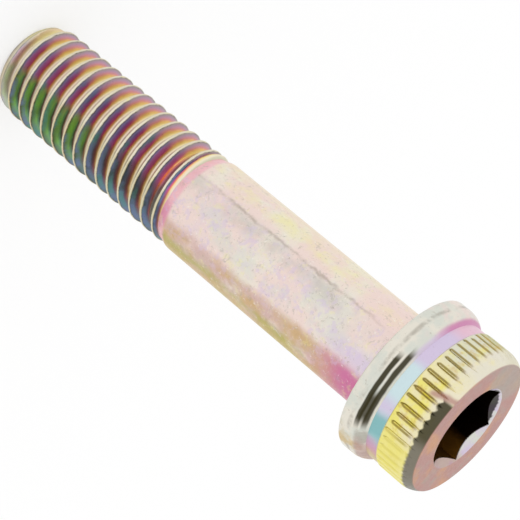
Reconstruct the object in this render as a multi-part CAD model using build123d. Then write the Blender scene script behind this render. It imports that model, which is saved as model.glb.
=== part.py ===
from build123d import *
import math
import os

# Socket head bolt with a plain shank, a right-hand rolled thread, and a collar forged in one with
# its knurled head. Millimetres. The origin is the centre of the collar's bearing face, +Z runs
# along the axis towards the head, and the thread end points down.

# Shank, measured down from the bearing face, and the step from it down to the thread's blank.
shank_d = 8.0
shank_length = 20.5
bolt_length = 40.0
neck_taper = 0.9
under_collar_blend = 0.25

# Thread: ISO metric coarse, with 60 degree flanks. It runs out over about a turn at the neck.
thread_d = 7.95
thread_pitch = 1.25
thread_depth = 0.755
flank_angle = 60.0
runout_pitches = 1.1
neck_drop = 0.225
neck_rise = 0.35

# Thread end: a bevelled flat, then a cone up to the crests.
point_inset = 0.375
point_cone_height = 1.1
point_bevel = 0.25

# Collar: a plain rim and a domed front that drops to the head's neck in conical facets.
collar_reach = 0.625
collar_rim_height = 1.0
collar_dome_height = 1.19
dome_facets = 3
collar_bevel = 0.2

# Head: a smooth neck, the knurled band that stands a little proud of it, and a bevel to the face.
head_height = 6.35
head_d = 11.96
knurl_rise = 0.08
knurl_depth = 0.19
knurl_angle = 90.0
knurl_count = 50
head_neck_length = 1.0
head_bevel_height = 0.7
head_bevel_drop = 0.4

# Hexagon socket for a 6 mm key, with a countersunk mouth and a shallow cone at the bottom.
socket_across_flats = 6.0
socket_depth = 4.4
socket_floor_angle = 140.0
mouth_margin = 0.04
mouth_angle = 90.0

# How far a cutting or trimming form reaches past the surface that it shapes.
overrun = 0.1

shank_r = shank_d / 2
thread_r = thread_d / 2
thread_root_r = thread_r - thread_depth
neck_r = thread_r - neck_drop
point_r = thread_r - point_inset
head_r = head_d / 2
head_neck_r = head_r - knurl_rise
collar_r = head_neck_r + collar_reach
end_z = -bolt_length
neck_end_z = -shank_length - neck_taper
collar_top_z = collar_rim_height + collar_dome_height
knurl_start_z = collar_top_z + head_neck_length
flank_slope = math.tan(math.radians(flank_angle / 2))


def dome_steps():
    """The collar's dome, from its rim to the head's neck: an arc that leaves the rim upright."""
    arc_r = (collar_dome_height**2 + collar_reach**2) / (2 * collar_reach)
    steps = []
    for step in range(1, dome_facets + 1):
        rise = collar_dome_height * step / dome_facets
        drop = arc_r - math.sqrt(arc_r**2 - rise**2)
        steps.append((collar_r - drop, collar_rim_height + rise))
    return steps


def turned_form():
    """The bolt's outer form, one profile turned about the axis, left fat where the thread is."""
    cone_slope = point_inset / point_cone_height
    rise_slope = neck_drop / neck_rise
    fat_r = thread_r + 2 * overrun
    with BuildPart() as form:
        with BuildSketch(Plane.XZ):
            with BuildLine():
                Polyline(
                    (0, head_height),
                    (0, end_z),
                    (point_r - point_bevel, end_z),
                    (point_r, end_z + point_bevel),
                    (fat_r, end_z + point_bevel + (fat_r - point_r) / cone_slope),
                    (fat_r, neck_end_z - (fat_r - neck_r) / rise_slope),
                    (neck_r, neck_end_z),
                    (shank_r, -shank_length),
                    (shank_r, -under_collar_blend),
                    (shank_r + under_collar_blend, 0),
                    (collar_r - collar_bevel, 0),
                    (collar_r, collar_bevel),
                    (collar_r, collar_rim_height),
                    *dome_steps(),
                    (head_neck_r, knurl_start_z),
                    (head_r, knurl_start_z),
                    (head_r, head_height - head_bevel_height),
                    (head_r - head_bevel_drop, head_height),
                    (0, head_height),
                )
            make_face()
        revolve(axis=Axis.Z)
    return form.part


def thread_corners():
    """One pitch of the thread's section from crest to crest, as radius and height."""
    crest_flat = thread_pitch / 8
    flank_height = thread_depth * flank_slope
    return (
        (thread_r, 0),
        (thread_r, crest_flat),
        (thread_root_r, crest_flat + flank_height),
        (thread_root_r, thread_pitch - flank_height),
        (thread_r, thread_pitch),
    )


def one_turn(radius, start_z):
    """One turn of the right-hand helix at this radius, from the +X side at this height."""
    turn = Helix(pitch=thread_pitch, height=thread_pitch, radius=radius, center=(0, 0, start_z))
    return turn.edge()


def rod_end(start_z):
    """The two faces that close a threaded rod: a helical ramp, and the step between its ends."""
    axis = Edge.make_line((0, 0, start_z), (0, 0, start_z + thread_pitch))
    ramp = Face.make_surface_from_curves(axis, one_turn(thread_r, start_z))
    outline = [(radius, 0, start_z + height) for radius, height in thread_corners()]
    axis_ends = [(0, 0, start_z + thread_pitch), (0, 0, start_z)]
    step = Face(Wire.make_polygon(outline + axis_ends, close=True))
    return [ramp, step]


def threaded_rod():
    """A rod with the thread's true helical form, longer at both ends than the bolt needs."""
    start_z = end_z - 1.5 * thread_pitch
    turns = math.ceil((neck_end_z - start_z) / thread_pitch)
    corners = thread_corners()
    faces = rod_end(start_z) + rod_end(start_z + turns * thread_pitch)
    for turn in range(turns):
        turn_z = start_z + turn * thread_pitch
        for (low_r, low_z), (high_r, high_z) in zip(corners, corners[1:]):
            low_edge = one_turn(low_r, turn_z + low_z)
            high_edge = one_turn(high_r, turn_z + high_z)
            faces.append(Face.make_surface_from_curves(low_edge, high_edge))
    return Solid(Shell(faces))


def bar_above_thread():
    """Plain bar over the neck, shank and head, with a cone that fills the thread's last turn."""
    run = runout_pitches * thread_pitch / thread_depth
    runout_end_z = neck_end_z - neck_rise
    low_r = thread_root_r - overrun
    high_r = thread_r + overrun
    bar_r = collar_r + overrun
    low_z = runout_end_z - (thread_r - low_r) * run
    high_z = runout_end_z + (high_r - thread_r) * run
    bar_top_z = head_height + overrun
    with BuildPart() as bar:
        with BuildSketch(Plane.XZ):
            with BuildLine():
                Polyline(
                    (0, low_z),
                    (low_r, low_z),
                    (high_r, high_z),
                    (bar_r, high_z),
                    (bar_r, bar_top_z),
                    (0, bar_top_z),
                    close=True,
                )
            make_face()
        revolve(axis=Axis.Z)
    return bar.part


def knurl_grooves():
    """The straight V grooves of the knurled band, which run out through the bevel."""
    root_r = head_r - knurl_depth
    outer_r = head_r + overrun
    half_width = (outer_r - root_r) * math.tan(math.radians(knurl_angle / 2))
    with BuildPart() as grooves:
        with BuildSketch(Plane.XY.offset(knurl_start_z)):
            with PolarLocations(0, knurl_count):
                Polygon((root_r, 0), (outer_r, -half_width), (outer_r, half_width), align=None)
        extrude(amount=head_height - knurl_start_z)
    return grooves.part


def hexagon_socket():
    """The hexagon socket, with two corners on the X axis, its countersunk mouth and its floor."""
    flat_r = socket_across_flats / 2
    corner_r = flat_r / math.cos(math.radians(30))
    floor_z = head_height - socket_depth
    floor_cone_height = flat_r / math.tan(math.radians(socket_floor_angle / 2))
    mouth_r = corner_r + mouth_margin
    mouth_bottom_r = flat_r - overrun
    mouth_depth = (mouth_r - mouth_bottom_r) / math.tan(math.radians(mouth_angle / 2))
    hung = (Align.CENTER, Align.CENTER, Align.MAX)
    with BuildPart() as socket:
        with BuildSketch(Plane.XY.offset(floor_z)):
            RegularPolygon(radius=flat_r, side_count=6, major_radius=False)
        extrude(amount=socket_depth)
        with Locations((0, 0, floor_z)):
            Cone(bottom_radius=0, top_radius=flat_r, height=floor_cone_height, align=hung)
        with Locations((0, 0, head_height)):
            Cone(bottom_radius=mouth_bottom_r, top_radius=mouth_r, height=mouth_depth, align=hung)
    return socket.part


def bolt():
    """The finished bolt, one piece of steel: threaded, turned, knurled and broached."""
    stock = threaded_rod() + bar_above_thread()
    body = stock & turned_form()
    return body - knurl_grooves() - hexagon_socket()


os.makedirs("parts", exist_ok=True)
export_step(bolt(), "parts/bolt.step")
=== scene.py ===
"""The looks of a yellow-zinc-plated socket bolt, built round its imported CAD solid.

One closed mesh stands for the CAD node: a rolled thread with its runout and point, a plain shank, a
collar, a knurled head and a hexagon socket. Units are metres, in the CAD frame: the origin is the
centre of the collar's bearing face and +Z runs along the axis towards the head.
"""

import logging
import math
import random
from dataclasses import dataclass, field
from enum import Enum
from typing import Callable, Union

import bpy
from mathutils import Matrix, Vector, noise


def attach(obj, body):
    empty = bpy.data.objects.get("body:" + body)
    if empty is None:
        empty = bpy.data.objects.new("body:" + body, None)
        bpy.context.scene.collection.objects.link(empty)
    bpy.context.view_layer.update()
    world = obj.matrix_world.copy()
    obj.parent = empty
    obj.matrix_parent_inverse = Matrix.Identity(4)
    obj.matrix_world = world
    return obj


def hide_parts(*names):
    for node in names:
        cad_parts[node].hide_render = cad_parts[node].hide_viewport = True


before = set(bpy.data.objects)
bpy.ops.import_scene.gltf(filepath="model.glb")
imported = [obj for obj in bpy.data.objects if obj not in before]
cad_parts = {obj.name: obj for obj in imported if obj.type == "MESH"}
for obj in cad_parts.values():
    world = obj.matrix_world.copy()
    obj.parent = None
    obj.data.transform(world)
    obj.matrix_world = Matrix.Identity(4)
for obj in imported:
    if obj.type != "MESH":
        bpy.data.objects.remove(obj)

MM = 0.001
BODY = "root"
NODE = "bolt"

# Sizes that more than one section or finish uses, in millimetres.
PITCH = 1.25
CREST_START_Z = -41.797
THREAD_END_Z = -40.0
NECK_R = 3.75
NECK_Z = -21.4
HEAD_NECK_R = 5.9
KNURLS = 50
FACE_Z = 6.35
MOUTH_R = 3.504

# How near two vertices are merged in one section and between sections, and how near a vertex
# counts as lying on a cutting plane, in metres.
MERGE_GAP = 1e-7
JOIN_GAP = 2e-7
CUT_GAP = 1e-8

# How near a vertex counts as on the axis, at a level, or on the neck's ring, in millimetres.
AXIS_REACH = 1e-6
LEVEL_REACH = 1e-3
RING_REACH = 0.01

SMOOTH_ANGLE = math.radians(32)
FLOAT = "NodeSocketFloat"
VECTOR = "NodeSocketVector"

Profile = list[tuple[float, float]]
Display = tuple[int, int, int]
Color = tuple[float, float, float, float]
Feed = Union[bpy.types.NodeSocket, float, tuple]

LOG = logging.getLogger("bolt_scene")


# ---------------------------------------------------------------------------
# Mesh tools, each one step of modelling by hand
# ---------------------------------------------------------------------------


def deselect_all() -> None:
    """Leaves nothing selected and no object active."""
    if bpy.context.object and bpy.context.object.mode != "OBJECT":
        bpy.ops.object.mode_set(mode="OBJECT")
    bpy.ops.object.select_all(action="DESELECT")
    bpy.context.view_layer.objects.active = None


def pick(piece: bpy.types.Object) -> None:
    """Makes one object the only one selected, and the active one."""
    deselect_all()
    piece.select_set(True)
    bpy.context.view_layer.objects.active = piece


def polar(radius: float, azimuth: float, height: float) -> Vector:
    """The point at this radius, azimuth in radians, and height."""
    return Vector((radius * math.cos(azimuth), radius * math.sin(azimuth), height))


def draw_profile(name: str, points: Profile) -> bpy.types.Object:
    """Draws a profile in the XZ plane by extruding one vertex from point to point.

    Args:
        name: The new object's name.
        points: Radius and height of each point, in millimetres.

    Returns:
        The object, whose mesh is one open chain of edges.
    """
    deselect_all()
    bpy.ops.mesh.primitive_plane_add(size=MM)
    piece = bpy.context.object
    piece.name = name
    bpy.ops.object.mode_set(mode="EDIT")
    bpy.ops.mesh.select_all(action="SELECT")
    bpy.ops.mesh.merge(type="CENTER")
    here = Vector((0.0, 0.0, 0.0))
    for index, (radius, height) in enumerate(points):
        there = Vector((radius * MM, 0.0, height * MM))
        if index == 0:
            bpy.ops.transform.translate(value=there - here)
        else:
            bpy.ops.mesh.extrude_vertices_move(TRANSFORM_OT_translate={"value": there - here})
        here = there
    bpy.ops.object.mode_set(mode="OBJECT")
    return piece


def merge_and_face_out(gap: float = MERGE_GAP) -> None:
    """Merges doubles in edit mode and turns every face outwards."""
    bpy.ops.mesh.select_all(action="SELECT")
    bpy.ops.mesh.remove_doubles(threshold=gap)
    bpy.ops.mesh.normals_make_consistent(inside=False)


def spin_profile(piece: bpy.types.Object, steps: int) -> None:
    """Turns a drawn profile once about the bolt's axis and merges its seam.

    Args:
        piece: The object that holds the profile.
        steps: Columns round the axis.
    """
    pick(piece)
    bpy.ops.object.mode_set(mode="EDIT")
    bpy.ops.mesh.select_all(action="SELECT")
    bpy.ops.mesh.spin(steps=steps, angle=2 * math.pi, center=(0, 0, 0), axis=(0, 0, 1))
    merge_and_face_out()
    bpy.ops.object.mode_set(mode="OBJECT")


def shape(piece: bpy.types.Object, move: Callable[[float, float, float], Vector]) -> None:
    """Moves every vertex by a rule on its radius, azimuth and height, in millimetres.

    Args:
        piece: The mesh object to shape.
        move: Takes radius, azimuth and height and gives the vertex's new place.
    """
    for vertex in piece.data.vertices:
        place = vertex.co / MM
        radius = math.hypot(place.x, place.y)
        if radius > AXIS_REACH:
            vertex.co = move(radius, math.atan2(place.y, place.x), place.z) * MM
    piece.data.update()


def select_ring(piece: bpy.types.Object, height: float) -> None:
    """Selects the open edges at one height and nothing else, and stays in edit mode.

    Args:
        piece: The mesh object.
        height: The ring's height, in millimetres.
    """
    bpy.ops.object.mode_set(mode="EDIT")
    bpy.ops.mesh.select_mode(type="EDGE")
    bpy.ops.mesh.select_all(action="DESELECT")
    bpy.ops.mesh.select_non_manifold(extend=False, use_wire=False, use_multi_face=False,
                                     use_non_contiguous=False, use_verts=False)
    bpy.ops.object.mode_set(mode="OBJECT")
    mesh = piece.data
    for edge in mesh.edges:
        ends = [mesh.vertices[index].co.z / MM for index in edge.vertices]
        if edge.select and any(abs(end - height) >= RING_REACH for end in ends):
            edge.select = False
    bpy.ops.object.mode_set(mode="EDIT")


# ---------------------------------------------------------------------------
# The bolt's sections, from the thread end to the socket, in millimetres
# ---------------------------------------------------------------------------


@dataclass
class RolledThread:
    """The right-hand thread, with a seam along its crest, its runout and its bevelled end.

    The section repeats every pitch. The point's cone and the runout's fill bound the radius, as the
    bevelled blank and the end of the rolling dies do on the real bolt.
    """

    finish: "Finish"
    major_r: float = 3.975
    depth: float = 0.755
    pitch: float = PITCH
    flank_slope: float = math.tan(math.radians(30))
    crest_start_z: float = CREST_START_Z
    end_z: float = THREAD_END_Z
    end_flat_r: float = 3.35
    end_bevel: float = 0.25
    point_slope: float = 0.375 / 1.1
    runout_end_z: float = -21.75
    runout_slope: float = 0.755 / 1.375
    neck_r: float = NECK_R
    neck_z: float = NECK_Z
    turns: int = 18
    columns: int = 96
    crest_zone: float = 0.1
    crest_wear: float = 0.012
    crest_sway: float = 0.03

    def section(self) -> Profile:
        """One pitch of the rounded section, from crest centre to crest centre.

        Returns:
            The radius and height of each point.
        """
        crest_half = self.pitch / 16
        root_r = self.major_r - self.depth
        half = [
            (self.major_r - 0.022, 0.0),
            (self.major_r - 0.006, 0.022),
            (self.major_r, 0.05),
            (self.major_r - 0.012, 0.082),
            (self.major_r - 0.05, crest_half + 0.036),
        ]
        for share in (0.25, 0.45, 0.65, 0.82):
            half.append((self.major_r - self.depth * share,
                         crest_half + self.depth * share * self.flank_slope))
        half += [(root_r + 0.06, 0.488), (root_r + 0.014, 0.54), (root_r, self.pitch / 2)]
        mirrored = [(radius, self.pitch - height) for radius, height in reversed(half[:-1])]
        return half + mirrored

    def bound(self, radius: float, azimuth: float, height: float) -> Vector:
        """Keeps a thread vertex inside the point's cone and outside the runout's fill.

        Args:
            radius: The vertex's radius, in millimetres as all lengths here.
            azimuth: Its azimuth, in radians.
            height: Its height.

        Returns:
            Where the vertex goes.
        """
        bevel_top = self.end_z + self.end_bevel
        cone_r = self.end_flat_r + self.end_bevel + (height - bevel_top) * self.point_slope
        if height < bevel_top:
            cone_r = self.end_flat_r + (height - self.end_z)
        rough = noise.noise(Vector((azimuth * 5, height * 3, 1.7)))
        rough += 0.6 * noise.noise(polar(radius * 7, azimuth, height * 9))
        low_r = self.major_r - (self.runout_end_z - height) * self.runout_slope
        neck_slope = (self.major_r - self.neck_r) / (self.neck_z - self.runout_end_z)
        high_r = max(self.neck_r, self.major_r - (height - self.runout_end_z) * neck_slope)
        crest = max(0.0, 1 - (self.major_r - radius) / self.crest_zone)
        radius -= self.crest_wear * crest * (0.6 + rough)
        height += self.crest_sway * crest * noise.noise(Vector((azimuth * 17, height * 2, 4.1)))
        radius = min(max(radius, low_r), high_r, cone_r)
        return polar(radius, azimuth, height)

    def build(self) -> bpy.types.Object:
        """Screws the section up the axis, trims it to the end face and the neck, and dresses it.

        Returns:
            The thread's mesh, closed at the end face and open at the neck.
        """
        start_z = self.crest_start_z
        points = [(radius, start_z + height) for radius, height in self.section()]
        piece = draw_profile("rolled_thread", points)
        screw = piece.modifiers.new("roll", "SCREW")
        screw.axis = "Z"
        screw.angle = 2 * math.pi
        screw.screw_offset = self.pitch * MM
        screw.iterations = self.turns
        screw.steps = screw.render_steps = self.columns
        pick(piece)
        bpy.ops.object.modifier_apply(modifier=screw.name)
        bpy.ops.object.mode_set(mode="EDIT")
        bpy.ops.mesh.select_all(action="SELECT")
        bpy.ops.mesh.remove_doubles(threshold=MERGE_GAP)
        bpy.ops.object.mode_set(mode="OBJECT")
        shape(piece, self.bound)
        bpy.ops.object.mode_set(mode="EDIT")
        bpy.ops.mesh.select_all(action="SELECT")
        bpy.ops.mesh.bisect(plane_co=(0, 0, self.end_z * MM), plane_no=(0, 0, 1),
                            use_fill=True, clear_inner=True, threshold=CUT_GAP)
        bpy.ops.mesh.select_all(action="SELECT")
        bpy.ops.mesh.bisect(plane_co=(0, 0, self.neck_z * MM), plane_no=(0, 0, 1),
                            clear_outer=True, threshold=CUT_GAP)
        merge_and_face_out()
        bpy.ops.object.mode_set(mode="OBJECT")
        self.finish.dress(piece)
        return piece


@dataclass
class TurnedSection:
    """A section of the bolt turned from a drawn profile, the same number of columns for all."""

    name: str
    finish: "Finish"
    columns: int = 600

    def profile(self) -> Profile:
        """The section's outline as radius and height."""
        raise NotImplementedError

    def shaped(self, radius: float, azimuth: float, height: float) -> Vector:
        """Where a turned vertex goes. A plain section leaves it where it is."""
        return polar(radius, azimuth, height)

    def build(self) -> bpy.types.Object:
        """Draws, spins, shapes and dresses the section.

        Returns:
            The section's mesh, open where the next one joins it.
        """
        piece = draw_profile(self.name, self.profile())
        spin_profile(piece, self.columns)
        shape(piece, self.shaped)
        self.finish.dress(piece)
        return piece


@dataclass
class Shank(TurnedSection):
    """The plain shank, from the thread's neck to the collar's bearing face."""

    radius: float = 4.0
    neck_r: float = NECK_R
    neck_z: float = NECK_Z
    top_of_taper_z: float = -20.5
    blend: float = 0.25
    bands: int = 12

    def profile(self) -> Profile:
        """Neck, taper with softened corners, plain cylinder, and the blend under the collar.

        Returns:
            The radius and height of each point.
        """
        taper = [(self.neck_r, self.neck_z), (self.neck_r + 0.012, self.neck_z + 0.12),
                 (self.radius - 0.03, self.top_of_taper_z - 0.16),
                 (self.radius - 0.006, self.top_of_taper_z),
                 (self.radius, self.top_of_taper_z + 0.18)]
        first, last = self.top_of_taper_z + 0.18, -self.blend
        plain = [(self.radius, first + (last - first) * band / self.bands)
                 for band in range(1, self.bands + 1)]
        fillet = []
        for step in range(1, 6):
            turn = math.radians(90 * step / 5)
            fillet.append((self.radius + self.blend * (1 - math.cos(turn)),
                           -self.blend * (1 - math.sin(turn))))
        return taper + plain + fillet


@dataclass
class Collar(TurnedSection):
    """The collar: flat bearing face, scuffed rim with worn corners, and a domed front."""

    radius: float = 6.525
    inner_r: float = 4.25
    rim_top_z: float = 1.0
    corner: float = 0.22
    dome_rise: float = 1.19
    neck_r: float = HEAD_NECK_R
    dome_steps: int = 12
    dent_depth: float = 0.05
    nick_depth: float = 0.025

    def profile(self) -> Profile:
        """From the shank's blend across the bearing face, up the rim and over the dome.

        Returns:
            The radius and height of each point.
        """
        points = [(self.inner_r, 0.0), (self.radius - self.corner, 0.0)]
        for step in range(1, 5):
            turn = math.radians(90 * step / 4)
            points.append((self.radius - self.corner * (1 - math.sin(turn)),
                           self.corner * (1 - math.cos(turn))))
        for share in (0.35, 0.6, 0.8, 1.0):
            points.append((self.radius, self.corner + (self.rim_top_z - self.corner) * share))
        reach = self.radius - self.neck_r
        arc_r = (self.dome_rise**2 + reach**2) / (2 * reach)
        for step in range(1, self.dome_steps + 1):
            rise = self.dome_rise * step / self.dome_steps
            drop = arc_r - math.sqrt(arc_r**2 - rise**2)
            points.append((self.radius - drop, self.rim_top_z + rise))
        return points

    def shaped(self, radius: float, azimuth: float, height: float) -> Vector:
        """Presses small dents into the rim, which never stand proud of it.

        Args:
            radius: The vertex's radius, in millimetres as all lengths here.
            azimuth: Its azimuth, in radians.
            height: Its height.

        Returns:
            Where the vertex goes.
        """
        near_rim = max(0.0, 1 - abs(height - 0.6) / 0.9) * (radius > self.inner_r + 1.6)
        x, y = math.cos(azimuth), math.sin(azimuth)
        dent = max(0.0, noise.noise(Vector((x * 4.2, y * 4.2, height * 1.4))))
        nick = max(0.0, noise.noise(Vector((x * 15, y * 15, height * 4 + 7))))
        sunk = near_rim * (self.dent_depth * dent + self.nick_depth * nick)
        return polar(radius - sunk, azimuth, height)


@dataclass
class KnurledHead(TurnedSection):
    """The head above the collar: smooth neck, knurled band, rounded crown and flat face."""

    neck_r: float = HEAD_NECK_R
    neck_bottom_z: float = 2.19
    knurl_start_z: float = 3.19
    band_r: float = 5.98
    crown_start_z: float = 5.2
    face_z: float = FACE_Z
    face_r: float = 5.55
    mouth_r: float = MOUTH_R
    lead: float = 0.06
    teeth: int = KNURLS
    groove_depth: float = 0.19
    groove_wander: float = 0.04
    groove_lean: float = 0.002
    wall_slope: float = 0.84
    run_in: float = 0.12
    run_in_rise: float = 0.3
    column_offsets: tuple[float, ...] = (0, 0.055, 0.11, 0.165, 0.22, 0.27, 0.376)
    crown_steps: int = 9
    seed: int = 5
    grooves: list[tuple[float, float, float, float]] = field(default_factory=list)

    def profile(self) -> Profile:
        """From the dome's foot up the neck, over the band and crown, and in to the mouth.

        Returns:
            The radius and height of each point.
        """
        start_z, top_z = self.knurl_start_z, self.crown_start_z
        points = [(self.neck_r, self.neck_bottom_z), (self.neck_r, 2.5), (self.neck_r, 2.85),
                  (self.neck_r, start_z - self.lead), (self.neck_r + 0.01, start_z),
                  (self.band_r - 0.02, start_z + self.lead)]
        for share in (0.08, 0.2, 0.35, 0.5, 0.65, 0.8, 1.0):
            rise = (top_z - start_z - self.lead) * share
            points.append((self.band_r, start_z + self.lead + rise))
        rise, reach = self.face_z - self.crown_start_z, self.band_r - self.face_r
        arc_r = (rise**2 + reach**2) / (2 * reach)
        for step in range(1, self.crown_steps + 1):
            height = rise * step / self.crown_steps
            drop = arc_r - math.sqrt(arc_r**2 - height**2)
            points.append((self.band_r - drop, self.crown_start_z + height))
        points += [(self.face_r - 0.12, self.face_z), (self.mouth_r + 0.9, self.face_z),
                   (self.mouth_r, self.face_z)]
        return points

    def cut_grooves(self) -> None:
        """Draws each groove's azimuth, depth, start height and lean, from a fixed seed."""
        draw = random.Random(self.seed)
        step = 2 * math.pi / self.teeth
        wander, tilt = self.groove_wander, self.groove_lean
        for index in range(self.teeth):
            self.grooves.append((step * (index + draw.uniform(-wander, wander)),
                                 self.groove_depth * draw.uniform(0.7, 1.05),
                                 self.knurl_start_z + draw.uniform(-0.05, 0.22),
                                 draw.uniform(-tilt, tilt)))

    def shaped(self, radius: float, azimuth: float, height: float) -> Vector:
        """Gathers the columns on the grooves and sinks them to the groove's V.

        Args:
            radius: The vertex's radius, in millimetres as all lengths here.
            azimuth: Its azimuth, in radians.
            height: Its height.

        Returns:
            Where the vertex goes.
        """
        if not self.grooves:
            self.cut_grooves()
        in_band = self.knurl_start_z - 0.03 < height < self.face_z - LEVEL_REACH
        if not in_band and height < self.face_z - LEVEL_REACH:
            return polar(radius, azimuth, height)
        if height > self.face_z - LEVEL_REACH and radius < self.face_r - 0.2:
            return polar(radius, azimuth, height)
        per_tooth = self.columns // self.teeth
        column = round(azimuth / (2 * math.pi) * self.columns) % self.columns
        tooth, place = divmod(column + per_tooth // 2, per_tooth)
        centre, depth, start_z, lean = self.grooves[tooth % self.teeth]
        centre += lean * (height - self.knurl_start_z)
        place -= per_tooth // 2
        offset = math.copysign(self.column_offsets[abs(place)], place)
        root_r = self.band_r - depth
        sunk = max(0.0, min(1.0, (height - start_z) / self.run_in))
        groove_r = root_r + abs(offset) * self.wall_slope + (1 - sunk) * self.run_in_rise
        return polar(min(radius, groove_r), centre + offset / self.band_r, height)


@dataclass
class HexSocket(TurnedSection):
    """The hexagon socket, two corners on X, with a countersunk mouth and a shallow cone floor."""

    flat_r: float = 3.0
    mouth_r: float = MOUTH_R
    face_z: float = FACE_Z
    depth: float = 4.4
    floor_cone: float = 1.092

    def profile(self) -> Profile:
        """The rings as drawn, before the walls are pressed to the hexagon."""
        floor_z = self.face_z - self.depth
        return [(self.mouth_r, self.face_z), (self.mouth_r - 0.01, self.face_z - 0.02),
                (self.mouth_r - 0.02, self.face_z - 1.0), (self.mouth_r - 0.02, self.face_z - 2.6),
                (self.mouth_r - 0.02, floor_z), (self.flat_r * 0.9, floor_z - 0.1 * self.floor_cone),
                (0.6, floor_z - 0.8 * self.floor_cone), (0.0, floor_z - self.floor_cone)]

    def shaped(self, radius: float, azimuth: float, height: float) -> Vector:
        """Presses a wall ring onto the hexagon, and the mouth's lower ring onto cone and wall.

        Args:
            radius: The vertex's radius, in millimetres as all lengths here.
            azimuth: Its azimuth, in radians.
            height: Its height.

        Returns:
            Where the vertex goes.
        """
        if height > self.face_z - LEVEL_REACH or radius < self.flat_r - LEVEL_REACH:
            return polar(radius, azimuth, height)
        from_flat = math.degrees(azimuth) % 60 - 30
        wall_r = self.flat_r / math.cos(math.radians(from_flat))
        if height > self.face_z - 0.03:
            height = self.face_z - (self.mouth_r - wall_r)
        return polar(wall_r, azimuth, height)


@dataclass
class SocketBolt:
    """The whole bolt: its sections joined into one closed mesh."""

    finishes: "FinishSet"

    def sections(self) -> list[RolledThread | TurnedSection]:
        """The sections in order from the thread's end to the socket."""
        finishes = self.finishes
        return [
            RolledThread(finish=finishes.thread),
            Shank("plain_shank", finishes.shank),
            Collar("collar", finishes.collar),
            KnurledHead("knurled_head", finishes.head),
            HexSocket("hexagon_socket", finishes.socket),
        ]

    def build(self) -> bpy.types.Object:
        """Builds, joins and closes the sections, and ties the piece to the frame.

        Returns:
            The finished bolt.
        """
        built = []
        for section in self.sections():
            built.append(section.build())
            LOG.info("%s: %d faces", built[-1].name, len(built[-1].data.polygons))
        thread = built[0]
        deselect_all()
        for part in built[1:]:
            part.select_set(True)
        bpy.context.view_layer.objects.active = built[1]
        bpy.ops.object.join()
        turned = bpy.context.object
        bpy.ops.object.mode_set(mode="EDIT")
        merge_and_face_out(JOIN_GAP)
        bpy.ops.object.mode_set(mode="OBJECT")
        turned.select_set(True)
        thread.select_set(True)
        bpy.context.view_layer.objects.active = turned
        bpy.ops.object.join()
        select_ring(turned, NECK_Z)
        bpy.ops.mesh.bridge_edge_loops()
        bpy.ops.mesh.select_all(action="SELECT")
        bpy.ops.mesh.normals_make_consistent(inside=False)
        bpy.ops.object.mode_set(mode="OBJECT")
        bpy.ops.object.shade_smooth_by_angle(angle=SMOOTH_ANGLE)
        turned.name = turned.data.name = "plated_bolt"
        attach(turned, BODY)
        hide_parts(NODE)
        return turned


# ---------------------------------------------------------------------------
# Finishes
# ---------------------------------------------------------------------------


class Tint(Enum):
    """The colours that the plating takes, and the darks laid as painted shade and reflections, as
    eight-bit display values.
    """

    CREAM = (236, 228, 214)
    PALE_PINK = (238, 214, 208)
    PINK = (240, 186, 196)
    MAGENTA = (205, 104, 158)
    LILAC = (214, 196, 224)
    YELLOW = (238, 232, 158)
    GOLD = (205, 172, 96)
    OLIVE = (176, 172, 66)
    PALE_GREY = (216, 218, 208)
    GREY = (168, 162, 150)
    BROWN_GREY = (150, 132, 112)
    DARK_OLIVE = (58, 54, 34)
    PALE_BLUE = (206, 226, 230)
    TURQUOISE = (128, 184, 186)
    SLATE = (108, 122, 158)
    ROSE_BROWN = (184, 138, 130)
    ORANGE = (206, 152, 106)
    KNURL_YELLOW = (238, 228, 128)
    KNURL_OLIVE = (146, 126, 54)
    # Near-black: painted shadow on the socket's walls, and the dark patch on its upper scallop.
    SOOT = (24, 14, 6)
    AMBER = (136, 92, 30)

    def linear(self) -> Color:
        """The colour as scene-linear values."""
        return linear_color(self.value)


def linear_color(display: Display) -> Color:
    """Turns eight-bit display values into a scene-linear colour."""
    shares = [channel / 255 for channel in display]
    return (*[((s + 0.055) / 1.055) ** 2.4 if s > 0.04045 else s / 12.92 for s in shares], 1.0)


# Scene-linear colours: a dark teal laid as painted shade along the thread's lower limb, the film
# where it is deepest, metal worn bright, and the studio's white.
TEAL_SHADE: Color = (0.13, 0.2, 0.2, 1.0)
SEA_GREEN: Color = (0.09, 0.26, 0.23, 1.0)
LEAF_GREEN: Color = (0.2, 0.5, 0.07, 1.0)
WORN_BRIGHT: Color = (0.95, 0.93, 0.88, 1.0)
WHITE: Color = (1.0, 1.0, 1.0, 1.0)


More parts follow.
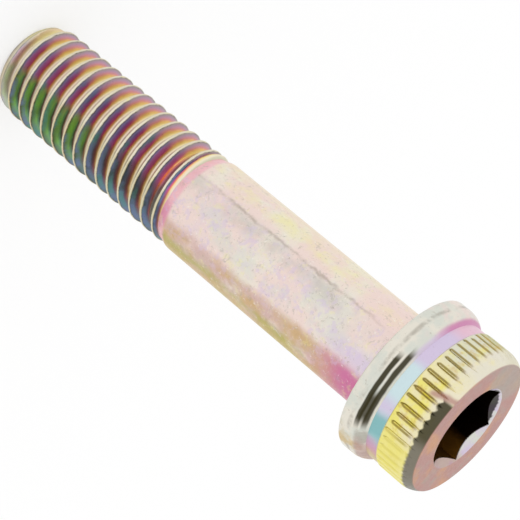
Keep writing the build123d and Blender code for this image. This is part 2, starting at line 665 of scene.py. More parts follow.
class NodeSheet:
    """A node tree with short calls for the nodes that the finishes use."""

    def __init__(self, tree: bpy.types.NodeTree) -> None:
        """Keeps the tree."""
        self.tree = tree

    def node(self, kind: str, **inputs: Feed) -> bpy.types.Node:
        """Adds a node and fills its inputs, each with a value or a link.

        Args:
            kind: The node's type name.
            inputs: Input names, with _ for a space, and what goes into each.

        Returns:
            The new node.
        """
        made = self.tree.nodes.new(kind)
        for name, value in inputs.items():
            self.feed(made.inputs[name.replace("_", " ")], value)
        return made

    def feed(self, socket: bpy.types.NodeSocket, value: Feed) -> None:
        """Links an output to a socket, or sets the socket's value.

        Args:
            socket: The input to fill.
            value: An output to link, or a plain value.
        """
        if isinstance(value, bpy.types.NodeSocket):
            self.tree.links.new(value, socket)
        else:
            socket.default_value = value

    def math(self, operation: str, *values: Feed) -> bpy.types.NodeSocket:
        """Adds a Math node.

        Args:
            operation: The node's operation.
            values: What goes into its inputs, in order.

        Returns:
            The result.
        """
        made = self.tree.nodes.new("ShaderNodeMath")
        made.operation = operation
        for socket, value in zip(made.inputs, values):
            self.feed(socket, value)
        return made.outputs[0]

    def mix(self, mask: Feed, low: Feed, high: Feed) -> bpy.types.NodeSocket:
        """Mixes two colours by a mask.

        Args:
            mask: 0 for the low colour, 1 for the high one.
            low: The colour underneath.
            high: The colour laid over it.

        Returns:
            The mixed colour.
        """
        made = self.tree.nodes.new("ShaderNodeMix")
        made.data_type = "RGBA"
        for index, value in ((0, mask), (6, low), (7, high)):
            self.feed(made.inputs[index], value)
        return made.outputs[2]

    def ramp(self, value: Feed, stops: list[tuple[float, Display]]) -> bpy.types.NodeSocket:
        """Adds a colour ramp.

        Args:
            value: Where on the ramp a point is, from 0 to 1.
            stops: The place and display colour of each stop.

        Returns:
            The ramp's colour.
        """
        made = self.node("ShaderNodeValToRGB", Fac=value)
        elements = made.color_ramp.elements
        while len(elements) < len(stops):
            elements.new(0.5)
        for element, (place, color) in zip(elements, stops):
            element.position = place
            element.color = linear_color(color)
        return made.outputs[0]

    def smooth(self, value: Feed, low: float, high: float) -> bpy.types.NodeSocket:
        """Rises smoothly from 0 at low to 1 at high, or falls where high is the smaller.

        Args:
            value: The value that is read.
            low: Where the result is 0.
            high: Where the result is 1.

        Returns:
            The result, from 0 to 1.
        """
        made = self.node("ShaderNodeMapRange", Value=value, From_Min=low, From_Max=high)
        made.interpolation_type = "SMOOTHSTEP"
        return made.outputs[0]

    def group(self, tree: bpy.types.NodeTree, **inputs: Feed) -> bpy.types.Node:
        """Places a shared group with its own values.

        Args:
            tree: The group.
            inputs: Input names and what goes into each.

        Returns:
            The group's node.
        """
        made = self.tree.nodes.new("ShaderNodeGroup")
        made.node_tree = tree
        for name, value in inputs.items():
            self.feed(made.inputs[name], value)
        return made


def new_group(name: str, takes: dict[str, tuple[str, float]],
              gives: dict[str, str]) -> tuple[NodeSheet, bpy.types.Node, bpy.types.Node]:
    """Makes an empty shared group.

    Args:
        name: The group's name.
        takes: Input names, each with its socket type and first value.
        gives: Output names, each with its socket type.

    Returns:
        The group's sheet, its input node and its output node.
    """
    tree = bpy.data.node_groups.new(name, "ShaderNodeTree")
    for label, (kind, value) in takes.items():
        socket = tree.interface.new_socket(label, in_out="INPUT", socket_type=kind)
        if kind == FLOAT:
            socket.default_value = value
    for label, kind in gives.items():
        tree.interface.new_socket(label, in_out="OUTPUT", socket_type=kind)
    return NodeSheet(tree), tree.nodes.new("NodeGroupInput"), tree.nodes.new("NodeGroupOutput")


@dataclass(frozen=True)
class PlatingEffects:
    """The effects that all finishes share, each a node group built once."""

    place: bpy.types.NodeTree
    mottle: bpy.types.NodeTree
    specks: bpy.types.NodeTree
    band: bpy.types.NodeTree

    @classmethod
    def make(cls) -> "PlatingEffects":
        """Builds the four groups."""
        return cls(cls.make_place(), cls.make_mottle(), cls.make_specks(), cls.make_band())

    @staticmethod
    def make_place() -> bpy.types.NodeTree:
        """Where a point is on the bolt: its place in millimetres, radius, height and two sides.

        Returns:
            The group.
        """
        numbers = ("Radius", "Height", "Side", "Front", "Turn")
        gives = {"Position": VECTOR, **{label: FLOAT for label in numbers}}
        sheet, _, out = new_group("bolt_place", {}, gives)
        scaled = sheet.node("ShaderNodeVectorMath")
        scaled.operation = "SCALE"
        sheet.feed(scaled.inputs[0], sheet.node("ShaderNodeTexCoord").outputs["Object"])
        scaled.inputs["Scale"].default_value = 1 / MM
        split = sheet.node("ShaderNodeSeparateXYZ", Vector=scaled.outputs[0])
        x, y, z = split.outputs
        radius = sheet.math("SQRT", sheet.math("ADD", sheet.math("MULTIPLY", x, x),
                                               sheet.math("MULTIPLY", y, y)))
        around = {}
        for label, degrees in (("Side", 190.0), ("Front", 280.0)):
            turn = math.radians(degrees)
            along = sheet.math("ADD", sheet.math("MULTIPLY", x, math.cos(turn)),
                               sheet.math("MULTIPLY", y, math.sin(turn)))
            around[label] = sheet.math("DIVIDE", along, sheet.math("MAXIMUM", radius, 0.01))
        turn = sheet.math("DIVIDE", sheet.math("ARCTAN2", y, x), 2 * math.pi)
        results = {"Position": scaled.outputs[0], "Radius": radius, "Height": z, "Turn": turn}
        for label, value in {**results, **around}.items():
            sheet.feed(out.inputs[label], value)
        return sheet.tree

    @staticmethod
    def make_mottle() -> bpy.types.NodeTree:
        """Soft cloudy patches.

        Returns:
            The group.
        """
        takes = {"Position": (VECTOR, 0), "Scale": (FLOAT, 1.0),
                 "Seed": (FLOAT, 0.0), "Cover": (FLOAT, 0.5),
                 "Softness": (FLOAT, 0.1)}
        sheet, given, out = new_group("mottle", takes, {"Mask": FLOAT})
        pattern = sheet.node("ShaderNodeTexNoise", Detail=4.0, Roughness=0.6)
        pattern.noise_dimensions = "4D"
        for label, source in (("Vector", "Position"), ("Scale", "Scale"), ("W", "Seed")):
            sheet.feed(pattern.inputs[label], given.outputs[source])
        edge = sheet.math("SUBTRACT", 1.0, given.outputs["Cover"])
        over = sheet.math("SUBTRACT", pattern.outputs[0], edge)
        share = sheet.math("DIVIDE", over, given.outputs["Softness"])
        sheet.feed(out.inputs["Mask"], sheet.smooth(share, -1.0, 1.0))
        return sheet.tree

    @staticmethod
    def make_specks() -> bpy.types.NodeTree:
        """Small nicks and scratches, as a mask and a height.

        Returns:
            The group.
        """
        takes = {"Position": (VECTOR, 0), "Scale": (FLOAT, 6.0),
                 "Cover": (FLOAT, 0.4)}
        gives = {"Mask": FLOAT, "Relief": FLOAT}
        sheet, given, out = new_group("nicks", takes, gives)
        pattern = sheet.node("ShaderNodeTexNoise", Detail=6.0, Roughness=0.75, Distortion=0.6)
        sheet.feed(pattern.inputs["Vector"], given.outputs["Position"])
        sheet.feed(pattern.inputs["Scale"], given.outputs["Scale"])
        edge = sheet.math("SUBTRACT", 1.0, given.outputs["Cover"])
        over = sheet.math("SUBTRACT", pattern.outputs[0], edge)
        sheet.feed(out.inputs["Mask"], sheet.smooth(over, 0.0, 0.09))
        sheet.feed(out.inputs["Relief"], pattern.outputs[0])
        return sheet.tree

    @staticmethod
    def make_band() -> bpy.types.NodeTree:
        """A soft-edged band of a value, such as a stretch of height.

        Returns:
            The group.
        """
        takes = {"Value": (FLOAT, 0.0), "Low": (FLOAT, 0.0),
                 "High": (FLOAT, 1.0), "Soft": (FLOAT, 0.1)}
        sheet, given, out = new_group("soft_band", takes, {"Mask": FLOAT})
        value, low, high, soft = (given.outputs[label] for label in takes)
        rise = sheet.math("DIVIDE", sheet.math("SUBTRACT", value, low), soft)
        fall = sheet.math("DIVIDE", sheet.math("SUBTRACT", high, value), soft)
        above, under = sheet.smooth(rise, -1.0, 1.0), sheet.smooth(fall, -1.0, 1.0)
        sheet.feed(out.inputs["Mask"], sheet.math("MULTIPLY", above, under))
        return sheet.tree


class PlatingPaint(NodeSheet):
    """One finish in the making: colours are laid over each other, then the shader is closed."""

    def __init__(self, name: str, effects: PlatingEffects, ground: Tint) -> None:
        """Starts a material whose whole surface has the ground colour.

        Args:
            name: The material's name.
            effects: The shared effects.
            ground: The ground colour.
        """
        self.made = bpy.data.materials.new(name)
        self.made.use_nodes = True
        super().__init__(self.made.node_tree)
        self.effects = effects
        place = self.group(effects.place)
        self.position = place.outputs["Position"]
        self.radius, self.height = place.outputs["Radius"], place.outputs["Height"]
        self.side, self.front = place.outputs["Side"], place.outputs["Front"]
        self.turn = place.outputs["Turn"]
        self.color = ground.linear()

    def mottle(self, scale: float, cover: float, soft: float = 0.1,
               seed: float = 0.0) -> bpy.types.NodeSocket:
        """A mask of cloudy patches."""
        return self.group(self.effects.mottle, Position=self.position, Scale=scale, Cover=cover,
                          Softness=soft, Seed=seed).outputs[0]

    def nicks(self, scale: float, cover: float) -> bpy.types.NodeSocket:
        """A mask of small nicks."""
        return self.group(self.effects.specks, Position=self.position, Scale=scale,
                          Cover=cover).outputs["Mask"]

    def band(self, value: Feed, low: float, high: float, soft: float) -> bpy.types.NodeSocket:
        """A mask of a stretch of a value."""
        return self.group(self.effects.band, Value=value, Low=low, High=high, Soft=soft).outputs[0]

    def both(self, *masks: Feed) -> Feed:
        """Multiplies masks and numbers.

        Args:
            masks: The masks and numbers.

        Returns:
            Their product.
        """
        product = masks[0]
        for mask in masks[1:]:
            product = self.math("MULTIPLY", product, mask)
        return product

    def wavy(self, value: Feed, amount: float, scale: float,
             seed: float = 0.0) -> bpy.types.NodeSocket:
        """Lets a value wander by a noise.

        Args:
            value: The value.
            amount: How far it wanders to either side.
            scale: The noise's scale, per millimetre.
            seed: Which noise it is.

        Returns:
            The wandering value.
        """
        pattern = self.node("ShaderNodeTexNoise")
        pattern.noise_dimensions = "4D"
        for label, source in (("Vector", self.position), ("W", seed), ("Scale", scale)):
            self.feed(pattern.inputs[label], source)
        return self.math("ADD", value, self.math("MULTIPLY", amount * 2,
                                                 self.math("SUBTRACT", pattern.outputs[0], 0.5)))

    def over(self, tint: Union[Tint, Color], *masks: Feed) -> None:
        """Lays a colour over what is there, by the product of the masks."""
        color = tint.linear() if isinstance(tint, Tint) else tint
        self.color = self.mix(self.both(*masks), self.color, color)

    def close(self, roughness: float, spread: float, bump_scale: float, bump: float,
              metallic: float = 1.0) -> bpy.types.Material:
        """Feeds the shader and gives the material.

        Args:
            roughness: The middle roughness.
            spread: How far it varies over the surface.
            bump_scale: Noise scale of the fine relief, per millimetre.
            bump: Strength of the fine relief.
            metallic: How metallic the surface is.

        Returns:
            The finished material.
        """
        shader = self.tree.nodes["Principled BSDF"]
        relief = self.group(self.effects.specks, Position=self.position, Scale=bump_scale,
                            Cover=0.5)
        varied = self.node("ShaderNodeMapRange", Value=relief.outputs["Relief"], From_Min=0.3,
                           From_Max=0.7, To_Min=roughness - spread, To_Max=roughness + spread)
        raised = self.node("ShaderNodeBump", Strength=bump, Distance=0.05 * MM,
                           Height=relief.outputs["Relief"])
        self.feed(shader.inputs["Base Color"], self.color)
        self.feed(shader.inputs["Roughness"], varied.outputs[0])
        self.feed(shader.inputs["Normal"], raised.outputs[0])
        shader.inputs["Metallic"].default_value = metallic
        return self.made


@dataclass(frozen=True)
class Finish:
    """A finish of one section of the bolt, made from the shared effects."""

    effects: PlatingEffects
    name: str = "plating"

    def paint(self) -> bpy.types.Material:
        """Makes the material."""
        raise NotImplementedError

    def dress(self, piece: bpy.types.Object) -> None:
        """Gives a piece this finish all over."""
        piece.data.materials.append(self.paint())


@dataclass(frozen=True)
class ThreadFinish(Finish):
    """Bare cream crests and roots, and flanks that run through the film's colours, with painted
    reflections and painted shade laid into them.
    """

    name: str = "thread_plating"
    pitch: float = PITCH
    crest_start_z: float = CREST_START_Z

    def paint(self) -> bpy.types.Material:
        """Ramps over one pitch from crest to crest, one for each side of the bolt, the darker sides
        as painted shade.

        Returns:
            The finished material.
        """
        sheet = PlatingPaint(self.name, self.effects, Tint.CREAM)
        over, band, smooth = sheet.over, sheet.band, sheet.smooth
        mottle, nicks, wavy = sheet.mottle, sheet.nicks, sheet.wavy
        lead = sheet.math("DIVIDE", sheet.math("SUBTRACT", sheet.height, self.crest_start_z),
                          self.pitch)
        phase = sheet.math("FRACT", sheet.math("SUBTRACT", lead, sheet.turn))
        phase = wavy(wavy(phase, 0.03, 1.6), 0.035, 0.4, 6.0)
        # Near 0.1 each ramp has a dark stop just past the crest: a painted reflection of a dark
        # surrounding.
        front = sheet.ramp(phase, [
            (0.0, (240, 232, 212)), (0.075, (230, 220, 196)), (0.1, (104, 94, 98)),
            (0.15, (128, 122, 172)), (0.23, (142, 88, 164)), (0.3, (206, 84, 128)),
            (0.355, (240, 164, 104)), (0.405, (248, 218, 176)), (0.5, (240, 230, 210)),
            (0.6, (206, 200, 172)), (0.66, (150, 142, 120)), (0.93, (220, 212, 188)),
            (1.0, (240, 232, 212))])
        high = sheet.ramp(phase, [
            (0.0, (230, 222, 198)), (0.065, (220, 212, 186)), (0.1, (156, 146, 142)),
            (0.17, (182, 144, 168)), (0.25, (214, 142, 138)), (0.32, (234, 190, 112)),
            (0.4, (240, 220, 152)), (0.5, (240, 232, 204)), (0.62, (212, 206, 180)),
            (0.92, (212, 200, 170)), (1.0, (230, 222, 198))])
        low = sheet.ramp(phase, [
            (0.0, (228, 216, 184)), (0.065, (206, 188, 150)), (0.1, (76, 76, 52)),
            (0.16, (104, 140, 78)), (0.25, (132, 190, 98)), (0.32, (106, 158, 122)),
            (0.37, (96, 86, 78)), (0.43, (194, 168, 150)), (0.5, (238, 222, 212)),
            (0.62, (168, 156, 132)), (0.93, (210, 196, 162)), (1.0, (228, 216, 184))])
        teal = sheet.ramp(phase, [
            (0.0, (226, 218, 190)), (0.075, (200, 190, 154)), (0.1, (66, 68, 64)),
            (0.18, (88, 102, 128)), (0.26, (108, 94, 122)), (0.33, (156, 92, 98)),
            (0.39, (214, 170, 116)), (0.5, (236, 228, 192)), (0.63, (168, 160, 130)),
            (0.93, (208, 200, 164)), (1.0, (226, 218, 190))])
        side = wavy(sheet.side, 0.12, 0.5, 2.0)
        near_end = smooth(wavy(sheet.height, 1.6, 0.4, 3.0), -29.0, -31.5)
        below = sheet.mix(near_end, teal, low)
        # The upper side takes a ramp with a paler dark stop and the lower side darker ramps: painted
        # light and shade by side, over the film's colours.
        sheet.color = sheet.mix(smooth(side, 0.35, 0.75), front, high)
        sheet.color = sheet.mix(smooth(side, -0.1, -0.34), sheet.color, below)
        flank = band(phase, 0.1, 0.4, 0.05)
        shade = band(side, -0.84, -0.5, 0.14)
        over(Tint.MAGENTA, band(phase, 0.16, 0.3, 0.05), band(side, -0.3, 0.5, 0.2),
             mottle(0.22, 0.5, 0.08, 12.0), 0.55)
        # Painted shade: the flanks darken to olive towards the lower side.
        over(Tint.DARK_OLIVE, flank, shade, 0.42)
        # Painted shade: the flanks along the lower limb darken to teal.
        over(TEAL_SHADE, flank, smooth(side, -0.84, -0.97), 0.5)
        upper = band(phase, 0.09, 0.24, 0.04)
        upper = sheet.both(upper, smooth(side, 0.62, 0.36))
        over(Tint.SLATE, upper, mottle(0.3, 0.48, 0.06, 5.0), 0.75)
        over(SEA_GREEN, upper, mottle(0.24, 0.42, 0.06, 21.0), 0.75)
        over(LEAF_GREEN, band(phase, 0.14, 0.32, 0.05), near_end, band(side, -0.66, -0.16, 0.12),
             mottle(0.2, 0.56, 0.1, 22.0), 0.7)
        # Painted reflection: a dark, nicked line just past each crest.
        over(Tint.DARK_OLIVE, band(phase, 0.075, 0.105, 0.015), nicks(4.5, 0.5), 0.8)
        over(Tint.CREAM, smooth(sheet.height, -38.6, -39.0), 0.45)
        over(Tint.YELLOW, smooth(sheet.height, -38.7, -39.2), smooth(side, 0.1, 0.5), 0.4)
        crest = smooth(sheet.radius, 3.88, 3.95)
        over(Tint.GREY, crest, nicks(5.0, 0.4), 0.6)
        over(Tint.YELLOW, crest, mottle(0.8, 0.34, 0.06, 8.0), 0.55)
        return sheet.close(0.34, 0.1, 9.0, 0.35)


@dataclass(frozen=True)
class ShankFinish(Finish):
    """Pale cream with clouds of pink and yellow, nicks, and stronger colour at both ends."""

    name: str = "shank_plating"

    def paint(self) -> bpy.types.Material:
        """Clouds first, then the streaks along the shank, with painted shade along the lower limb
        and a painted reflection line among them, then nicks.

        Returns:
            The finished material.
        """
        sheet = PlatingPaint(self.name, self.effects, Tint.CREAM)
        over, band, smooth = sheet.over, sheet.band, sheet.smooth
        mottle, nicks, wavy = sheet.mottle, sheet.nicks, sheet.wavy
        side, height = wavy(sheet.side, 0.1, 0.45), wavy(sheet.height, 1.0, 0.5, 1.0)
        over(Tint.PALE_PINK, mottle(0.3, 0.55, 0.08, 1.0), 0.8)
        over(Tint.PALE_GREY, band(side, -0.42, 0.42, 0.14), mottle(0.45, 0.5, 0.1, 2.0), 0.6)
        over(Tint.LILAC, band(side, -0.5, 0.4, 0.14), mottle(0.5, 0.42, 0.1, 31.0), 0.25)
        over(Tint.YELLOW, band(side, 0.6, 0.86, 0.12), mottle(0.32, 0.48, 0.1, 11.0), 0.55)
        over(Tint.PINK, band(side, -0.5, 0.5, 0.2), mottle(0.42, 0.36, 0.1, 4.0), 0.35)
        # Towards the lower limb the shank turns rose-brown, gold and olive: the film's colours,
        # darkened as painted shade along that limb.
        lower = smooth(side, -0.46, -0.66)
        over(Tint.ROSE_BROWN, lower, mottle(0.5, 0.62, 0.12, 15.0), 0.5)
        over(Tint.GOLD, lower, mottle(0.45, 0.5, 0.1, 16.0), 0.6)
        over(Tint.OLIVE, smooth(side, -0.74, -0.9), mottle(0.3, 0.5, 0.1, 7.0), 0.75)
        over(Tint.GOLD, smooth(side, -0.88, -0.97), 0.45)
        over(Tint.YELLOW, smooth(side, 0.86, 0.98), 0.25)
        # Painted reflection: a thin wavy brown-grey line along the shank, on both sides.
        line = band(wavy(sheet.side, 0.07, 1.5, 5.0), 0.4, 0.44, 0.035)
        over(Tint.BROWN_GREY, line, mottle(0.7, 0.56, 0.12, 9.0), 0.62)
        # Painted shade: a soft mottled grey band beside the line.
        over(Tint.GREY, band(side, 0.1, 0.42, 0.12), mottle(0.5, 0.5, 0.14, 17.0), 0.26)
        near_head = smooth(height, -6.0, -1.8)
        over(Tint.MAGENTA, near_head, smooth(side, -0.4, -0.66), 0.85)
        over(Tint.LILAC, near_head, band(side, -0.5, -0.15, 0.14), 0.7)
        over(Tint.PALE_PINK, near_head, band(side, -0.1, 0.75, 0.2), 0.7)
        over(Tint.PINK, smooth(sheet.height, -20.45, -20.85), 0.85)
        over(Tint.MAGENTA, smooth(sheet.height, -20.4, -20.9), band(side, -0.8, -0.35, 0.15), 0.5)
        scuffed = mottle(0.4, 0.66, 0.12, 3.0)
        over(Tint.GREY, nicks(1.9, 0.44), scuffed, 0.36)
        over(Tint.BROWN_GREY, nicks(4.6, 0.42), scuffed, 0.42)
        over(WORN_BRIGHT, nicks(3.3, 0.42), 0.5)
        over(Tint.YELLOW, mottle(1.5, 0.38, 0.06, 33.0), 0.28)
        over(Tint.LILAC, mottle(1.6, 0.42, 0.06, 14.0), band(side, -0.7, 0.4, 0.2), 0.4)
        return sheet.close(0.36, 0.08, 2.6, 0.28)


@dataclass(frozen=True)
class CollarFinish(Finish):
    """Scuffed pale grey rim, and a dome with violet rings in the film and dark rings that are
    painted reflections.
    """

    name: str = "collar_plating"

    def paint(self) -> bpy.types.Material:
        """The rim's scuffs, then the dome's rings by height, the dark ones painted reflections.

        Returns:
            The finished material.
        """
        sheet = PlatingPaint(self.name, self.effects, Tint.PALE_GREY)
        over, band, smooth = sheet.over, sheet.band, sheet.smooth
        mottle, nicks, wavy = sheet.mottle, sheet.nicks, sheet.wavy
        side = wavy(sheet.side, 0.08, 0.5)
        height = wavy(sheet.height, 0.08, 0.7, 2.0)
        over(Tint.CREAM, mottle(0.6, 0.5), 0.7)
        over(Tint.PALE_PINK, smooth(side, 0.3, 0.7), mottle(0.5, 0.5, 0.1, 3.0), 0.7)
        over(Tint.GOLD, smooth(side, -0.75, -0.95), mottle(0.6, 0.45, 0.08, 4.0), 0.8)
        over(Tint.BROWN_GREY, nicks(2.4, 0.4), 0.55)
        # Painted shade: a mottled grey band along the rim's top edge.
        over(Tint.GREY, band(height, 0.75, 1.05, 0.12), mottle(0.7, 0.5, 0.1, 6.0), 0.7)
        over(Tint.LILAC, smooth(height, 1.8, 2.1), smooth(side, 0.1, 0.4), 0.8)
        over(Tint.MAGENTA, band(height, 1.88, 2.3, 0.14), smooth(side, 0.5, 0.8), 0.7)
        # Painted reflections: dark olive rings on the dome, broken by side.
        ends = smooth(side, -0.8, -0.62)
        over(Tint.DARK_OLIVE, band(height, 1.22, 1.58, 0.06), smooth(side, 0.2, 0.06), ends, 0.96)
        over(Tint.DARK_OLIVE, band(height, 1.74, 2.06, 0.06), smooth(side, 0.34, 0.18), ends, 0.95)
        over(Tint.DARK_OLIVE, band(height, 1.4, 1.9, 0.08), band(side, -0.66, -0.32, 0.08), 0.9)
        over(Tint.GREY, smooth(height, 1.3, 1.6), smooth(side, -0.7, -0.8),
             mottle(0.8, 0.5, 0.1, 9.0), 0.7)
        over(Tint.ROSE_BROWN, smooth(height, 1.3, 1.7), smooth(side, -0.84, -0.93), 0.6)
        return sheet.close(0.36, 0.1, 3.4, 0.45)


@dataclass(frozen=True)
class HeadFinish(Finish):
    """Pale blue neck, yellow knurls with groove flanks painted olive as shade, a crown darkened as a
    painted reflection, and rose-brown face.
    """

    name: str = "head_plating"

    def paint(self) -> bpy.types.Material:
        """Neck, band, crown and face, told apart by height and radius.

        Returns:
            The finished material.
        """
        sheet = PlatingPaint(self.name, self.effects, Tint.KNURL_YELLOW)
        over, band, smooth = sheet.over, sheet.band, sheet.smooth
        mottle, nicks, wavy = sheet.mottle, sheet.nicks, sheet.wavy
        side, height = wavy(sheet.side, 0.08, 0.5), sheet.height
        over(Tint.CREAM, mottle(0.8, 0.5, 0.08, 1.0), 0.55)
        over(Tint.PALE_GREY, smooth(side, 0.3, 0.6), mottle(0.7, 0.6), 0.75)
        over(Tint.OLIVE, smooth(side, 0.86, 0.98), 0.5)
        # Painted shade: the groove flanks are laid darker olive than the lands.
        sunk = band(sheet.radius, 5.83, 5.93, 0.03)
        over(Tint.KNURL_OLIVE, sunk, band(height, 3.2, 5.35, 0.1), 0.85)
        # Painted shadow: dark olive where the grooves end at the foot of the band.
        over(Tint.DARK_OLIVE, smooth(sheet.radius, 5.93, 5.86), band(height, 3.14, 3.34, 0.05),
             mottle(0.9, 0.5, 0.05, 23.0), 0.85)
        over(Tint.GOLD, mottle(1.3, 0.42, 0.06, 24.0), band(height, 3.2, 5.3, 0.1), 0.45)
        over(Tint.CREAM, smooth(height, 4.9, 5.4), 0.6)
        # Painted reflection: the crown goes dark olive on one side, with a toothed edge.
        teeth = sheet.math("COSINE", sheet.math("MULTIPLY", sheet.turn, 2 * math.pi * KNURLS))
        wave = sheet.math("ADD", wavy(height, 0.18, 2.4, 4.0), sheet.math("MULTIPLY", teeth, 0.1))
        crown = sheet.math("MULTIPLY", smooth(wave, 5.5, 5.68), smooth(side, 0.12, 0.05))
        over(Tint.DARK_OLIVE, crown, 0.93)
        over(Tint.GREY, smooth(wave, 5.4, 5.7), smooth(side, -0.42, -0.6), 0.42)
        over(Tint.KNURL_YELLOW, smooth(height, 5.75, 5.5), smooth(side, -0.5, -0.7), 0.8)
        lean = sheet.math("MULTIPLY", -0.06, sheet.math("SUBTRACT", height, 4.2))
        wedge = band(sheet.math("ADD", side, lean), -0.02, 0.06, 0.03)
        over(Tint.ROSE_BROWN, wedge, smooth(height, 4.3, 4.8), smooth(sheet.front, 0.5, 0.8), 0.8)
        neck = smooth(height, 3.22, 3.14)
        over(Tint.PALE_BLUE, neck)
        over(Tint.LILAC, neck, smooth(side, 0.12, 0.3), 0.9)
        over(Tint.PINK, neck, smooth(side, 0.66, 0.85), 0.6)
        over(Tint.TURQUOISE, neck, band(side, -0.8, -0.5, 0.08), 0.9)
        over(Tint.LILAC, neck, band(side, -0.5, -0.3, 0.1), 0.8)
        over(Tint.GOLD, neck, smooth(side, -0.84, -0.95), 0.8)
        over(Tint.MAGENTA, neck, band(side, -0.93, -0.8, 0.05), 0.6)
        face = sheet.math("MULTIPLY", smooth(height, 6.27, 6.33), smooth(sheet.radius, 5.62, 5.5))
        over(Tint.ROSE_BROWN, face)
        over(Tint.ORANGE, face, mottle(0.45, 0.42, 0.1, 2.0), 0.8)
        over(Tint.GREY, face, mottle(0.5, 0.4, 0.1, 5.0), 0.5)
        over(Tint.GREY, face, smooth(side, 0.75, 0.9), 0.6)
        over(Tint.BROWN_GREY, nicks(3.0, 0.38), 0.4)
        return sheet.close(0.36, 0.1, 3.6, 0.4)


@dataclass(frozen=True)
class SocketFinish(Finish):
    """Pale scallops at the mouth, and walls that darken to brown and near-black with depth, as
    painted shade.
    """

    name: str = "socket_plating"

    def paint(self) -> bpy.types.Material:
        """The countersink by its slope, and the walls by depth as painted shade.

        Returns:
            The finished material.
        """
        sheet = PlatingPaint(self.name, self.effects, Tint.PALE_GREY)
        over, smooth, mottle = sheet.over, sheet.smooth, sheet.mottle
        wavy = sheet.wavy
        over(Tint.LILAC, mottle(0.6, 0.5), 0.8)
        over(Tint.ROSE_BROWN, smooth(sheet.side, -0.4, -0.7), 0.6)
        above_wall = sheet.math("ADD", sheet.height, sheet.math("SUBTRACT", MOUTH_R, sheet.radius))
        wall = smooth(above_wall, 6.34, 6.26)
        # Painted shade: the walls below the mouth are laid amber-brown, darker than the scallops.
        over(Tint.AMBER, wall)
        # A near-black patch with a ragged upper edge on the mouth's upper far scallop.
        dark_scallop = sheet.both(smooth(sheet.side, 0.36, 0.44), smooth(sheet.front, 0.1, 0.0))
        over(Tint.SOOT, dark_scallop, smooth(wavy(sheet.height, 0.16, 2.2), 6.26, 6.18), 0.9)
        # Painted shadow: the walls on one side go near-black.
        over(Tint.SOOT, smooth(wavy(sheet.side, 0.1, 0.5), -0.45, -0.1), wall)
        return sheet.close(0.42, 0.1, 3.0, 0.35)


@dataclass(frozen=True)
class FinishSet:
    """The finish of each section."""

    thread: Finish
    shank: Finish
    collar: Finish
    head: Finish
    socket: Finish

    @classmethod
    def make(cls) -> "FinishSet":
        """The five finishes, on one set of shared effects."""
        effects = PlatingEffects.make()
        return cls(ThreadFinish(effects), ShankFinish(effects), CollarFinish(effects),
                   HeadFinish(effects), SocketFinish(effects))


# ---------------------------------------------------------------------------
# Studio and camera
# ---------------------------------------------------------------------------


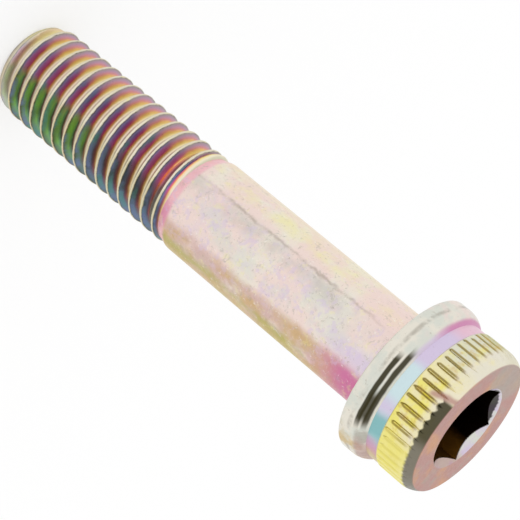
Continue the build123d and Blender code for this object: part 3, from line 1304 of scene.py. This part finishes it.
@dataclass
class Studio:
    """A plain pale floor, a white world and soft light."""

    floor_z: float = THREAD_END_Z
    floor_size: float = 4000.0
    own_white: float = 0.6

    def floor(self) -> bpy.types.Object:
        """Lays the floor under the bolt's thread end.

        Returns:
            The floor.
        """
        deselect_all()
        bpy.ops.mesh.primitive_plane_add(size=self.floor_size * MM,
                                         location=(0, 0, self.floor_z * MM))
        piece = bpy.context.object
        piece.name = "studio_floor"
        made = bpy.data.materials.new("studio_floor")
        made.use_nodes = True
        shader = made.node_tree.nodes["Principled BSDF"]
        shader.inputs["Base Color"].default_value = WHITE
        shader.inputs["Roughness"].default_value = 0.9
        shader.inputs["Specular IOR Level"].default_value = 0.0
        sheet = NodeSheet(made.node_tree)
        camera_ray = sheet.node("ShaderNodeLightPath").outputs["Is Camera Ray"]
        seen = sheet.math("MULTIPLY", camera_ray, self.own_white)
        white = sheet.node("ShaderNodeEmission", Color=WHITE, Strength=1.0)
        blend = sheet.node("ShaderNodeMixShader", Fac=seen)
        sheet.feed(blend.inputs[1], shader.outputs[0])
        sheet.feed(blend.inputs[2], white.outputs[0])
        below = sheet.node("ShaderNodeBsdfTransparent")
        back = sheet.node("ShaderNodeNewGeometry").outputs["Backfacing"]
        sides = sheet.node("ShaderNodeMixShader", Fac=back)
        sheet.feed(sides.inputs[1], blend.outputs[0])
        sheet.feed(sides.inputs[2], below.outputs[0])
        sheet.feed(made.node_tree.nodes["Material Output"].inputs["Surface"], sides.outputs[0])
        piece.data.materials.append(made)
        return piece

    def world(self) -> None:
        """A white world."""
        world = bpy.data.worlds.new("studio")
        bpy.context.scene.world = world
        world.use_nodes = True
        world.node_tree.nodes["Background"].inputs["Color"].default_value = WHITE
        world.node_tree.nodes["Background"].inputs["Strength"].default_value = 1.0

    def build(self) -> None:
        """Sets up floor and light."""
        self.floor()
        self.world()
        bpy.context.scene.view_settings.view_transform = "Standard"


@dataclass
class ViewCamera:
    """The main view: over the head, with the bolt lying across the frame."""

    azimuth: float = 10.0
    elevation: float = 24.5
    roll: float = 129.876
    distance: float = 163.5
    aim_z: float = -14.15
    aim_side: float = 0.27
    lens: float = 154.0

    def build(self) -> None:
        """Adds the camera and makes it the scene's."""
        data = bpy.data.cameras.new("view_camera")
        data.lens = self.lens
        data.sensor_width = 36.0
        data.clip_start, data.clip_end = 0.005, 50.0
        camera = bpy.data.objects.new("view_camera", data)
        bpy.context.scene.collection.objects.link(camera)
        turn, rise = math.radians(self.azimuth), math.radians(self.elevation)
        back = Vector((math.sin(turn) * math.cos(rise), -math.cos(turn) * math.cos(rise),
                       math.sin(rise)))
        side = Vector((math.cos(turn), math.sin(turn), 0.0))
        aim = (Vector((0, 0, self.aim_z)) + side * self.aim_side) * MM
        camera.location = aim + back * self.distance * MM
        upright = (-back).to_track_quat("-Z", "Y").to_matrix()
        rolled = upright @ Matrix.Rotation(math.radians(self.roll), 3, "Z")
        camera.rotation_euler = rolled.to_euler()
        bpy.context.scene.camera = camera


def main() -> None:
    """Builds the bolt, the studio and the camera."""
    logging.basicConfig(level=logging.INFO, format="%(name)s: %(message)s")
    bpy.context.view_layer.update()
    bolt = SocketBolt(FinishSet.make()).build()
    LOG.info("%s: %d faces in all", bolt.name, len(bolt.data.polygons))
    Studio().build()
    ViewCamera().build()


if __name__ == "__main__":
    main()
